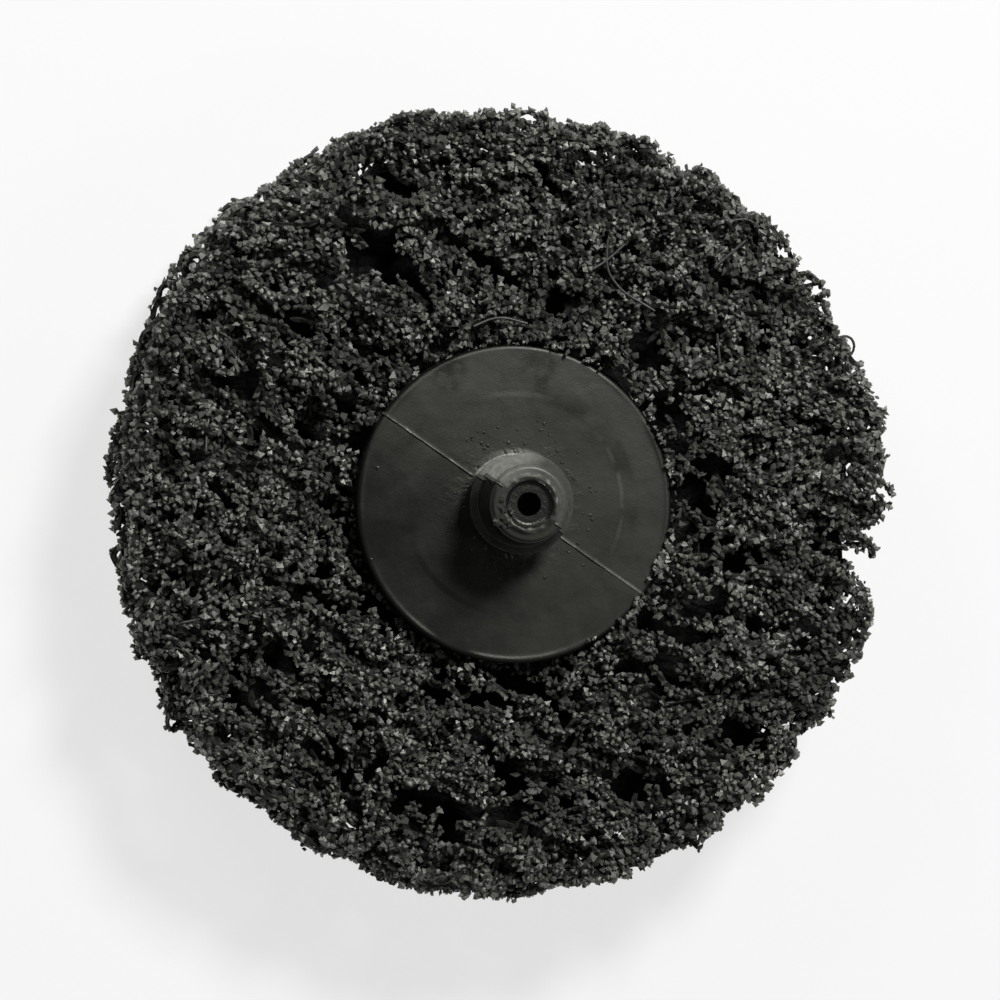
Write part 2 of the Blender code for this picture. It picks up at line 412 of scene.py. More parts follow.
def fibre_paths(rng, starts, spread):
    """Points along curly, mostly level fibres, one fibre for each start."""
    count = len(starts)
    heading = flow_angle(starts) + rng.normal(0.0, spread, count) + math.pi * rng.integers(0, 2, count)
    slope = rng.normal(0.0, 0.25, count)
    bend = rng.normal(0.0, 1.0, count) / FIBRE_CURL
    point = starts.copy()
    points = np.empty((FIBRE_STEPS, count, 3))
    for step in range(FIBRE_STEPS):
        points[step] = point
        level = np.cos(slope)
        way = np.stack([np.cos(heading) * level, np.sin(heading) * level, np.sin(slope)], axis=-1)
        point = point + way * FIBRE_STEP
        bend = 0.86 * bend + 0.5 * rng.normal(0.0, 1.0, count) / FIBRE_CURL
        heading = heading + bend * FIBRE_STEP
        slope = 0.92 * slope + rng.normal(0.0, 0.10, count)
    return points


def in_shell(skin, points):
    """Whether each point lies in the pad's shell, and the index in FACES of the face that it is under."""
    _, face = skin.outward(points)
    depth = skin.depth(points)
    limit = np.array([SHELL_DEPTH[name] for name in FACES])[face]
    return (depth > 0) & (depth < limit), face


def shell_points(rng, skin, count):
    """Random points in the pad's shell, evenly spread."""
    kept = []
    while sum(map(len, kept)) < count:
        points = rng.uniform(-1.0, 1.0, (count, 3)) * WEB_RADIUS * DRAWN_RADIUS
        points[:, 2] = rng.uniform(0.0, WEB_THICKNESS * DRAWN_HEIGHT, count)
        near_rim = axis_distance(points) > WEB_RADIUS * INNER_SHARE
        inside, _ = in_shell(skin, points)
        kept.append(points[inside & (near_rim | (points[:, 2] < WEB_THICKNESS / 2))])
    return np.concatenate(kept)[:count]


def clear_of_button(points, room):
    """Whether each point keeps this much room round the flange and over the pocket's floor."""
    low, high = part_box("mounting_button")
    radius = axis_distance(points)
    over_flange = (radius < high.x + room) & (points[:, 2] > low.z - room)
    return ~over_flange


def in_pore(points, side_depth):
    """Whether each point lies in one of the open pores that run down through the skin, fewer at the rim."""
    streaks = points @ streak_matrix()
    pore = field(streaks, PORE_SIZE, 31) * 0.85 + field(streaks, HOLLOW_SIZE, 32) * 0.15
    at_rim = smoothstep(1.0 - side_depth / RIM_WIDTH)
    return pore > PORE_LEVEL + (RIM_PORE_LEVEL - PORE_LEVEL) * at_rim


def stretches(kept):
    """Start and end of each unbroken run of kept points."""
    edges = np.flatnonzero(np.diff(np.concatenate([[0], kept.astype(int), [0]])))
    return zip(edges[::2], edges[1::2])


# Coated fibres and grit


def hanging_together(paths):
    """Whether each path belongs to a bunch of many paths that touch each other."""
    parent = list(range(len(paths)))

    def root(index):
        while parent[index] != index:
            parent[index] = parent[parent[index]]
            index = parent[index]
        return index

    for shift in (0.0, 0.5):
        owner = {}
        for index, path in enumerate(paths):
            for cell in set(map(tuple, np.floor(path / CONTACT + shift).astype(int))):
                parent[root(index)] = root(owner.setdefault(cell, index))
    roots = [root(index) for index in range(len(paths))]
    sizes = Counter(roots)
    return [sizes[found] >= SMALLEST_BUNCH for found in roots]


def make_ropes(rng, skin, material):
    """The net of resin-coated fibres that makes the pad's outer shell, as a few mesh objects."""
    starts = shell_points(rng, skin, ROPE_COUNT)
    paths = fibre_paths(rng, starts, FIBRE_SPREAD)
    radii = ROPE_RADIUS * np.exp(rng.normal(0.0, ROPE_VARIETY, ROPE_COUNT))
    to_right = smoothstep(0.5 + starts[:, 0] / (30 * MM))
    bound_share = RIM_BOUND_LEFT + (RIM_BOUND_RIGHT - RIM_BOUND_LEFT) * to_right
    bound = np.tile(rng.random(ROPE_COUNT) < bound_share, FIBRE_STEPS)
    flat, kept = skin.settled(paths.reshape(-1, 3), bound)
    inside, face = in_shell(skin, flat)
    kept &= inside & clear_of_button(flat, ROPE_RADIUS + BUTTON_GAP)
    kept = (kept & ~in_pore(flat, skin.depths(flat)[1])).reshape(FIBRE_STEPS, ROPE_COUNT)
    swelling = (1.0 + 0.30 * field(flat, 0.75 * MM, 51)).reshape(FIBRE_STEPS, ROPE_COUNT)
    face = face.reshape(FIBRE_STEPS, ROPE_COUNT)
    paths = flat.reshape(FIBRE_STEPS, ROPE_COUNT, 3)
    regions = {(name, hand): [] for name in FACES for hand in ("left", "right")}
    for index in range(ROPE_COUNT):
        for first, last in stretches(kept[:, index]):
            length = last - first
            if length < ROPE_SHORTEST:
                continue
            path = paths[first:last, index]
            from_end = np.minimum(np.arange(length), np.arange(length)[::-1])
            narrowing = ROPE_TIP + (1.0 - ROPE_TIP) * smoothstep((from_end + 0.4) / 1.6)
            name = FACES[face[first + length // 2, index]]
            rope = tube(path, radii[index] * swelling[first:last, index] * narrowing, ROPE_SIDES[name])
            hand = "left" if path[length // 2, 0] < 0 else "right"
            regions[name, hand].append((path, rope))
    everything = [path for ropes in regions.values() for path, _ in ropes]
    held = iter(hanging_together(everything))
    pieces = []
    for (name, hand), ropes in regions.items():
        ropes = [rope for rope in ropes if next(held)]
        points, faces = joined([rope for _, rope in ropes])
        middles = np.concatenate([tube_middles(path, ROPE_SIDES[name]) for path, _ in ropes])
        lumps = 1.0 + 0.40 * field(points, ROPE_LUMP, 52) + 0.20 * rng.uniform(-1.0, 1.0, len(points))
        points = middles + (points - middles) * lumps[:, None]
        points[:, 2] = np.maximum(points[:, 2], 0.0)
        # How deep each point lies, from 0 to 1; the material paints shade and dullness by it
        burial = smoothstep(skin.depth(middles) / BURIED)
        pieces.append(mesh_object(f"ropes_{name}_{hand}", (points, faces), material, False, burial))
    return pieces


def rotations(rng, count):
    """Random rotation matrices, evenly spread."""
    q = rng.normal(0.0, 1.0, (count, 4))
    w, x, y, z = (q / np.linalg.norm(q, axis=1, keepdims=True)).T
    rows = [
        [1 - 2 * (y * y + z * z), 2 * (x * y - w * z), 2 * (x * z + w * y)],
        [2 * (x * y + w * z), 1 - 2 * (x * x + z * z), 2 * (y * z - w * x)],
        [2 * (x * z - w * y), 2 * (y * z + w * x), 1 - 2 * (x * x + y * y)],
    ]
    return np.moveaxis(np.array(rows), 2, 0)


def arrays(mesh):
    """Points and triangles of a bmesh, which is freed."""
    points = np.array([vert.co for vert in mesh.verts])
    faces = np.array([[vert.index for vert in face.verts] for face in mesh.faces])
    mesh.free()
    return points, faces


def cube():
    """Points and triangles of a cube whose corners lie at a distance of 1."""
    mesh = bmesh.new()
    bmesh.ops.create_cube(mesh, size=2.0 / math.sqrt(3.0))
    bmesh.ops.triangulate(mesh, faces=mesh.faces)
    return arrays(mesh)


def sphere():
    """Points and triangles of a unit icosphere."""
    mesh = bmesh.new()
    bmesh.ops.create_icosphere(mesh, subdivisions=2, radius=1.0)
    return arrays(mesh)


def octahedron():
    """Points and triangles of an octahedron whose corners lie at a distance of 1.15."""
    points = 1.15 * np.array([(1, 0, 0), (0, 1, 0), (-1, 0, 0), (0, -1, 0), (0, 0, 1), (0, 0, -1)])
    upper = [(side, (side + 1) % 4, 4) for side in range(4)]
    lower = [((side + 1) % 4, side, 5) for side in range(4)]
    return points, np.array(upper + lower)


def grains(rng, places, sizes):
    """Points and triangles of one sharp, irregular grain at each place, and the grain of each."""
    pointed = rng.random(len(places)) < POINTED_SHARE
    parts = []
    grain_of_point = []
    grain_of_face = []
    for (base, faces), chosen in ((cube(), ~pointed), (octahedron(), pointed)):
        index = np.flatnonzero(chosen)
        count = len(index)
        points = base[None] * rng.uniform(0.7, 1.3, (count, len(base), 1))
        points = points + rng.uniform(-GRAIN_DENT, GRAIN_DENT, points.shape)
        points = points * rng.uniform(0.7, 1.35, (count, 1, 3)) * sizes[index, None, None]
        points = np.einsum("nij,nvj->nvi", rotations(rng, count), points) + places[index, None, :]
        all_faces = faces[None] + len(base) * np.arange(count)[:, None, None]
        parts.append((points.reshape(-1, 3), all_faces.reshape(-1, 3)))
        grain_of_point.append(np.repeat(index, len(base)))
        grain_of_face.append(np.repeat(index, len(faces)))
    points, faces = joined(parts)
    return points, faces, np.concatenate(grain_of_point), np.concatenate(grain_of_face)


def thinned(points, cell, rng):
    """Indices of one point at most in each cubic cell, so that grains don't crowd."""
    order = rng.permutation(len(points))
    keys = np.floor(points[order] / cell).astype(np.int64) @ np.array([1, 100003, 10000600009])
    _, first = np.unique(keys, return_index=True)
    return order[first]


def make_grit(rng, skin, ropes, material):
    """Sharp grains stuck on the outer side of the ropes."""
    pieces = []
    for rope in ropes:
        _, face, hand = rope.name.split("_")
        points = vertex_rows(rope.data, "co")
        normals = vertex_rows(rope.data, "normal")
        way, _ = skin.outward(points)
        facing = np.einsum("ij,ij->i", way, normals) > rng.uniform(-0.3, 0.5, len(points))
        facing &= skin.depth(points) < GRIT_DEPTH
        points = points[facing]
        normals = normals[facing]
        kept = thinned(points, GRIT_CELLS[face], rng)
        sizes = GRIT_RADIUS * rng.uniform(0.75, 1.3, len(kept))
        places = points[kept] + normals[kept] * sizes[:, None] * GRIT_SINK
        places = places + rng.normal(0.0, GRIT_SCATTER, places.shape)
        room = clear_of_button(places, GRIT_RADIUS)
        grit, faces, grain_of_point, grain_of_face = grains(rng, places[room], sizes[room])
        grit[:, 2] = np.maximum(grit[:, 2], 0.0)
        # How deep each grain lies, from 0 to 1; the material paints shade and dullness by it
        burial = smoothstep(skin.depth(places[room]) / BURIED)[grain_of_point]
        smooth = (rng.random(room.sum()) < ROUNDED_SHARE)[grain_of_face]
        pieces.append(mesh_object(f"grit_{face}_{hand}", (grit, faces), material, smooth, burial))
    return pieces


def make_overlap(rng, material):
    """Grains that lie over the flange's edge."""
    low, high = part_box("mounting_button")
    clusters = rng.uniform(*OVERLAP_ANGLES, OVERLAP_CLUSTERS)
    angle = rng.choice(clusters, OVERLAP_GRAINS) + rng.normal(0.0, OVERLAP_SPREAD, OVERLAP_GRAINS)
    below = smoothstep(-angle / math.radians(15) - 0.3)
    radius = high.x + 0.25 * MM - (0.25 + 0.40 * below) * MM * rng.random(OVERLAP_GRAINS) ** 2
    sizes = GRIT_RADIUS * (0.65 + 0.25 * below) * np.exp(rng.normal(0.0, 0.25, OVERLAP_GRAINS))
    heights = low.z + FLANGE_THICKNESS + sizes * rng.uniform(0.5, 1.1, OVERLAP_GRAINS)
    places = np.stack([radius * np.cos(angle), radius * np.sin(angle), heights], axis=1)
    points, faces, _, _ = grains(rng, places, sizes)
    return mesh_object("grit_over_flange", (points, faces), material, False, np.zeros(len(points)))


def swell_rim(piece):
    """Moves a piece's points out or in near the pad's rim, so that its outline follows the photograph's."""
    mesh = piece.data
    points = vertex_rows(mesh, "co")
    radius = axis_distance(points)
    share = smoothstep((radius - SWELL_START) / (WEB_RADIUS - SWELL_START))
    swell = around(np.arctan2(points[:, 1], points[:, 0]), RIM_SWELLS) * share
    points[:, :2] *= (1.0 + swell / np.maximum(radius, MM))[:, None]
    mesh.vertices.foreach_set("co", points.astype(np.float32).ravel())
    mesh.update()


# The inside and the bare fibres


def turned_grid(radii, heights, angles):
    """Points of a surface turned from a profile, row by row."""
    rows = len(radii)
    count = len(angles)
    points = np.empty((rows, count, 3))
    points[:, :, 0] = radii[:, None] * np.cos(angles)[None]
    points[:, :, 1] = radii[:, None] * np.sin(angles)[None]
    points[:, :, 2] = heights[:, None]
    return points


def grid_faces(rows, count):
    """Triangles that join a closed grid of rows round the axis, outside up."""
    row = np.arange(rows - 1)[:, None] * count
    a = row + np.arange(count)[None]
    b = row + (np.arange(count)[None] + 1) % count
    first = np.stack([a, a + count, b + count], axis=-1)
    second = np.stack([a, b + count, b], axis=-1)
    return np.concatenate([first.reshape(-1, 3), second.reshape(-1, 3)])


def fan(middle, first, second):
    """Triangles from one point to the pairs of points of two lists."""
    return np.stack([np.full(len(first), middle), first, second], axis=-1)


def capped(points, faces, top_height, bottom_height):
    """The turned grid closed with a fan at each end of its profile."""
    count = points.shape[1]
    flat = points.reshape(-1, 3)
    top = len(flat)
    bottom = top + 1
    here = np.arange(count)
    after = (here + 1) % count
    last = (points.shape[0] - 1) * count
    fans = [fan(top, here, after), fan(bottom, last + after, last + here)]
    flat = np.concatenate([flat, [[0, 0, top_height], [0, 0, bottom_height]]])
    return flat, np.concatenate([faces] + fans)


def make_core(material):
    """The inside of the pad, which closes the bottom of the pores; its near black colour is painted shade.
    """
    radius = WEB_RADIUS - CORE_DEPTH
    upper = WEB_THICKNESS - CORE_SINK
    lower = CORE_DEPTH
    across = np.arange(1, round(radius / CORE_SPACING)) * CORE_SPACING
    up = np.linspace(upper, lower, round((upper - lower) / CORE_SPACING))
    radii = np.concatenate([across, np.full(len(up), radius), across[::-1]])
    heights = np.concatenate([np.full(len(across), upper), up, np.full(len(across), lower)])
    angles = full_turn(CORE_SEGMENTS)
    points = turned_grid(radii, heights, angles)
    rows, count, _ = points.shape
    flat = points.reshape(-1, 3)
    out = flat * [1, 1, 0] / WEB_RADIUS
    out[:, 2] = (flat[:, 2] - WEB_THICKNESS / 2) / WEB_THICKNESS * 2
    rough = field(flat, 1.5 * MM, 41) * 0.45 + field(flat, 0.7 * MM, 42) * 0.3
    low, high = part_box("mounting_button")
    raised = low.z - CORE_UNDER_BUTTON - upper
    away = axis_distance(flat)
    under_button = smoothstep((high.x + 0.6 * MM - away) / (1.2 * MM)) * (flat[:, 2] > WEB_THICKNESS / 2)
    points = flat + out * rough[:, None] * MM
    points[:, 2] += under_button * (raised - out[:, 2] * rough * MM)
    shape = capped(points.reshape(rows, count, 3), grid_faces(rows, count), upper + raised, lower)
    return mesh_object("web_core", shape, material)


def tube(path, radii, sides=6):
    """Points and triangles of a closed tube along a path."""
    ways = np.gradient(path, axis=0)
    ways /= np.linalg.norm(ways, axis=1, keepdims=True)
    side = np.cross(ways, (0.3, 0.2, 1.0))
    side /= np.linalg.norm(side, axis=1, keepdims=True)
    over = np.cross(ways, side)
    turn = full_turn(sides)
    rings = side[:, None] * np.cos(turn)[None, :, None] + over[:, None] * np.sin(turn)[None, :, None]
    points = path[:, None] + rings * radii[:, None, None]
    count = len(path)
    flat = np.concatenate([points.reshape(-1, 3), path[:1], path[-1:]])
    faces = grid_faces(count, sides)[:, ::-1]
    here = np.arange(sides)
    after = (here + 1) % sides
    last = (count - 1) * sides
    start = fan(count * sides, after, here)
    end = fan(count * sides + 1, last + here, last + after)
    return flat, np.concatenate([faces, start, end])


def tube_middles(path, sides):
    """The middle of the tube at each of its points, in the order in which the tube lists them."""
    return np.concatenate([np.repeat(path, sides, axis=0), path[:1], path[-1:]])


def joined(parts):
    """Several (points, faces) as one."""
    points = []
    faces = []
    start = 0
    for part_points, part_faces in parts:
        points.append(part_points)
        faces.append(part_faces + start)
        start += len(part_points)
    return np.concatenate(points), np.concatenate(faces)


def rounded_path(corners, rounds=4):
    """A smooth path through a list of points, by cutting their corners again and again."""
    path = np.array(corners, float)
    for _ in range(rounds):
        first = path[:-1] * 0.75 + path[1:] * 0.25
        second = path[:-1] * 0.25 + path[1:] * 0.75
        cut = np.stack([first, second], axis=1).reshape(-1, path.shape[1])
        path = np.concatenate([path[:1], cut, path[-1:]])
    return path


def make_bare_fibres(rng, skin, material):
    """Thin nylon fibres that the resin left bare: those of the photograph, and others all over the pad."""
    parts = []
    for corners in BARE_FIBRES:
        places = np.array(corners) * MM
        heights = np.maximum(skin.top(places[:, 0], places[:, 1]), WEB_THICKNESS) + 0.1 * MM
        path = rounded_path(np.column_stack([places, heights]))
        parts.append(tube(path, np.full(len(path), BARE_FIBRE_RADIUS)))
    starts = shell_points(rng, skin, BARE_FIBRE_STARTS)
    starts = starts[skin.depth(starts) < 0.4 * MM]
    paths = fibre_paths(rng, starts, BARE_FIBRE_SPREAD)
    flat = paths.reshape(-1, 3)
    depth = skin.depth(flat)
    shallowest, deepest = BARE_FIBRE_DEPTHS
    inside = (depth > shallowest) & (depth < deepest) & clear_of_button(flat, 0.15 * MM)
    inside = (inside & (flat[:, 2] > 0.2 * MM)).reshape(paths.shape[:2])
    for index in range(paths.shape[1]):
        length = FIBRE_STEPS if inside[:, index].all() else int(np.argmin(inside[:, index]))
        if length < BARE_FIBRE_SHORTEST:
            continue
        radius = BARE_FIBRE_RADIUS * rng.uniform(0.8, 1.2)
        parts.append(tube(paths[:length, index], np.full(length, radius)))
    return mesh_object("bare_fibres", joined(parts), material, smooth=True)


# The button


def thread_share(angle, height):
    """How much of the thread's ridge stands at each angle and height above the flange, from 0 to 1."""
    share = np.zeros_like(height)
    first_turn = (angle - THREAD_START_ANGLE) / math.tau % 1.0
    for turn in (first_turn, first_turn + 1.0):
        away = height - THREAD_START_HEIGHT - turn * THREAD_PITCH
        under = smoothstep(1.0 + away / THREAD_UNDER)
        over = np.clip(1.0 - away / THREAD_OVER, 0, 1)
        ridge = np.where(away < 0.0, under, over)
        ends = smoothstep(turn / THREAD_RUN_IN) * smoothstep((THREAD_TURNS - turn) / THREAD_RUN_OUT)
        share = np.maximum(share, ridge * ends)
    return share


def run(start, end, count):
    """Points of a straight stretch of profile, without its first point."""
    share = np.linspace(0.0, 1.0, count + 1)[1:, None]
    return np.array(start) + (np.array(end) - np.array(start)) * share


def arc(centre, radius, start, end, count):
    """Points of a round stretch of profile, from one angle to the other in degrees."""
    angle = np.radians(np.linspace(start, end, count + 1))
    return np.array(centre) + radius * np.stack([np.cos(angle), np.sin(angle)], axis=-1)


def button_profile(flange_top, stem_top, flange_radius):
    """Half section of the button as rows of radius and height, from the bore's floor to the underside."""
    ring = flange_radius - RING_STEP_INSET
    edge = FLANGE_EDGE
    under = flange_top - FLANGE_THICKNESS
    bore_floor = stem_top - BORE_DEPTH
    dish_floor = stem_top - DISH_DEPTH
    shoulder = STEM_TOP_RADIUS - STEM_TOP_EDGE
    shoulder_height = stem_top - STEM_TOP_EDGE
    root = STEM_ROOT_RADIUS + STEM_ROOT_FILLET
    root_height = flange_top + STEM_ROOT_FILLET
    lip_half = (LIP_RADIUS - DISH_RADIUS) / 2
    lip = arc((0.0, 0.0), 1.0, 175, 8, 9) * (lip_half, LIP_HEIGHT) + (DISH_RADIUS + lip_half, stem_top)
    parts = [
        run((BORE_RADIUS * 0.2, bore_floor), (BORE_RADIUS, bore_floor), 2),
        run((BORE_RADIUS, bore_floor), (BORE_RADIUS, dish_floor), 8),
        run((BORE_RADIUS, dish_floor), (DISH_FLOOR_RADIUS, dish_floor), 6),
        run((DISH_FLOOR_RADIUS, dish_floor), (DISH_RADIUS, stem_top), 3)[:-1],
        lip,
        run((LIP_RADIUS + 0.06 * MM, stem_top), (shoulder, stem_top), 5),
        arc((shoulder, shoulder_height), STEM_TOP_EDGE, 90, 0, 5),
        run((STEM_TOP_RADIUS, shoulder_height), (STEM_ROOT_RADIUS, root_height), 100),
        arc((root, root_height), STEM_ROOT_FILLET, 180, 270, 6)[1:],
        run((root, flange_top), (ring, flange_top), 20),
        run((ring, flange_top), (flange_radius - 2 * edge, flange_top), 16),
        run((flange_radius - 2 * edge, flange_top), (flange_radius - edge, flange_top), 3),
        arc((flange_radius - edge, flange_top - edge), edge, 90, 0, 6)[1:],
        run((flange_radius, flange_top - edge), (flange_radius, under + edge), 3),
        arc((flange_radius - edge, under + edge), edge, 0, -90, 3)[1:],
        run((flange_radius - edge, under), (0.3 * MM, under), 8),
    ]
    return np.concatenate(parts)


def as_moulded(flat, flange_top, stem_top, flange_radius):
    """The turned button's points with its thread and its mould's unevenness."""
    radius = axis_distance(flat)
    height = flat[:, 2] - flange_top
    angle = np.arctan2(flat[:, 1], flat[:, 0])
    on_flank = (radius > LIP_RADIUS + 0.1 * MM) & (radius < THREAD_CREST_RADIUS) & (height > 0.1 * MM)
    on_flank &= flat[:, 2] < stem_top - STEM_TOP_EDGE * 0.5
    share = np.where(on_flank, thread_share(angle, height), 0.0)
    grown = radius + (THREAD_CREST_RADIUS - radius) * share
    grown += np.where(on_flank, 0.03 * MM * field(flat, 0.9 * MM, 61), 0.0)
    level = flat * [1.0, 1.0, 0.0]
    lip = (flat[:, 2] > stem_top + 0.02 * MM) & (radius < STEM_TOP_RADIUS)
    lip_share = LIP_LOWEST + around(angle, LIP_CHUNKS) + 0.30 * field(level, 0.40 * MM, 62)
    lip_height = np.clip(lip_share, 0.05, 1.0) * (flat[:, 2] - stem_top)
    flat[:, :2] *= (grown / radius)[:, None]
    flat[lip, 2] = stem_top + lip_height[lip]
    on_top = (radius > STEM_ROOT_RADIUS + STEM_ROOT_FILLET) & (height > -FLANGE_EDGE)
    outside_ring = smoothstep((radius - flange_radius + RING_STEP_INSET) / (0.15 * MM))
    step_share = np.clip(0.5 + field(level, 5.0 * MM, 63), 0.0, 1.0)
    bead = smoothstep(1.0 - np.abs(radius - flange_radius + FLANGE_EDGE) / FLANGE_EDGE)
    bead_share = np.clip(0.4 + field(level, 2.0 * MM, 64), 0.0, 1.0)
    unevenness = RIM_BEAD * bead * bead_share - RING_STEP * outside_ring * step_share
    unevenness += 0.012 * MM * field(level, 1.8 * MM, 65) - DOME * (radius / flange_radius) ** 2
    flat[:, 2] += np.where(on_top, unevenness - RIM_BEAD, 0.0)
    return flat


def flash_strip(rows, angle, last_radius, hand):
    """Points and triangles of a thin raised flash that runs along a half section, tapering at its end.

    The mould's halves don't quite meet, so that one side of the flash is steep and the other is not.
    """
    out = np.array([math.cos(angle), math.sin(angle), 0.0])
    side = np.array([-math.sin(angle), math.cos(angle), 0.0])
    up = np.array([0.0, 0.0, 1.0])
    ways = np.gradient(rows, axis=0)
    ways /= np.linalg.norm(ways, axis=1, keepdims=True)
    middle = rows[:, :1] * out + rows[:, 1:] * up
    normal = -ways[:, 1:] * out + ways[:, :1] * up
    fading = smoothstep((last_radius - rows[:, 0]) / (2.4 * MM))
    ragged = (1.0 + 0.55 * field(middle, 0.35 * MM, 66)) * (0.2 + 0.8 * fading)
    width = FLASH_WIDTH * (1.0 + 0.3 * field(middle, 0.5 * MM, 67))
    section = []
    for across, rise in FLASH_SECTION:
        lift = normal * (FLASH_HEIGHT * rise * np.where(rise > 0, ragged, 1.0))[:, None]
        section.append(middle + side * (hand * width * across)[:, None] + lift)
    points = np.stack(section, axis=1)
    count, corners, _ = points.shape
    last = corners * (count - 1)
    ends = [[0, corner + 1, corner] for corner in range(1, corners - 1)]
    ends += [[last, last + corner, last + corner + 1] for corner in range(1, corners - 1)]
    faces = np.concatenate([grid_faces(count, corners), ends])
    return points.reshape(-1, 3), faces[:, ::hand]


def specks(rng, places, size, roughness):
    """Points and triangles of small rounded specks of plastic at each place."""
    base, faces = sphere()
    parts = []
    for place in places:
        stretch = rng.uniform(0.7, 1.3, 3) * size
        dents = 1.0 + roughness * rng.uniform(-1.0, 1.0, (len(base), 1))
        parts.append((base * dents * stretch + place, faces))
    return joined(parts)


def make_button(rng, material, pale):
    """The moulding and its mould's traces, as a few mesh objects."""
    low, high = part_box("mounting_button")
    flange_top = low.z + FLANGE_THICKNESS
    stem_top = high.z - LIP_HEIGHT
    profile = button_profile(flange_top, stem_top, high.x)
    angles = full_turn(BUTTON_SEGMENTS) + PARTING_ANGLE
    points = turned_grid(profile[:, 0], profile[:, 1], angles)
    rows, count, _ = points.shape
    flat = as_moulded(points.reshape(-1, 3), flange_top, stem_top, high.x)
    points = flat.reshape(rows, count, 3)
    shape = capped(points, grid_faces(rows, count), profile[0, 1], profile[-1, 1])
    button = mesh_object("button_moulding", shape, material, smooth=True)
    button.data.set_sharp_from_angle(angle=math.radians(38))
    outside = (profile[:, 0] > LIP_RADIUS + 0.05 * MM) & (profile[:, 1] > low.z + FLANGE_EDGE)
    outside[: np.argmax(profile[:, 1] > stem_top)] = False
    parts = []
    for column, last_radius, hand in ((0, high.x + 3 * MM, 1), (BUTTON_SEGMENTS // 2, FLASH_END, -1)):
        section = points[outside, column]
        half_section = np.column_stack([axis_distance(section), section[:, 2]])
        parts.append(flash_strip(half_section, angles[column], last_radius, hand))
    places = np.array(PIMPLES) * MM
    angle = rng.uniform(*PIMPLE_ANGLES, MORE_PIMPLES)
    radius = rng.uniform(*PIMPLE_RINGS, MORE_PIMPLES)
    places = np.concatenate([places, np.stack([radius * np.cos(angle), radius * np.sin(angle)], axis=1)])
    heights = flange_top - RIM_BEAD - DOME * np.sum(places**2, axis=1) / high.x**2
    shape = specks(rng, np.column_stack([places, heights]), PIMPLE_SIZE, 0.3)
    pimples = mesh_object("pimples", shape, material, smooth=True)
    flash = mesh_object("mould_flash", joined(parts), pale, smooth=True)
    places = np.repeat(np.array(CRUMBS) * MM, 2, axis=0)
    places += rng.normal(0.0, CRUMB_SCATTER, places.shape)
    heights = stem_top + rng.uniform(0.0, 0.10, len(places)) * MM
    sizes = CRUMB_RADIUS * rng.uniform(0.6, 1.2, len(places))
    points, faces, _, _ = grains(rng, np.column_stack([places, heights]), sizes)
    crumbs = mesh_object("crumbs", (points, faces), pale)
    return [button, flash, pimples, crumbs]


# Materials

WARM = (1.0, 0.995, 0.90, 1.0)
SHADER_INPUTS = {"ior": "IOR", "specular": "Specular IOR Level", "tint": "Specular Tint"}
BURIED_ROUGHER = 0.4


def tone(level, blue):
    """A colour that is nearly grey: its red and green, then its blue."""
    return (level, level, blue, 1.0)


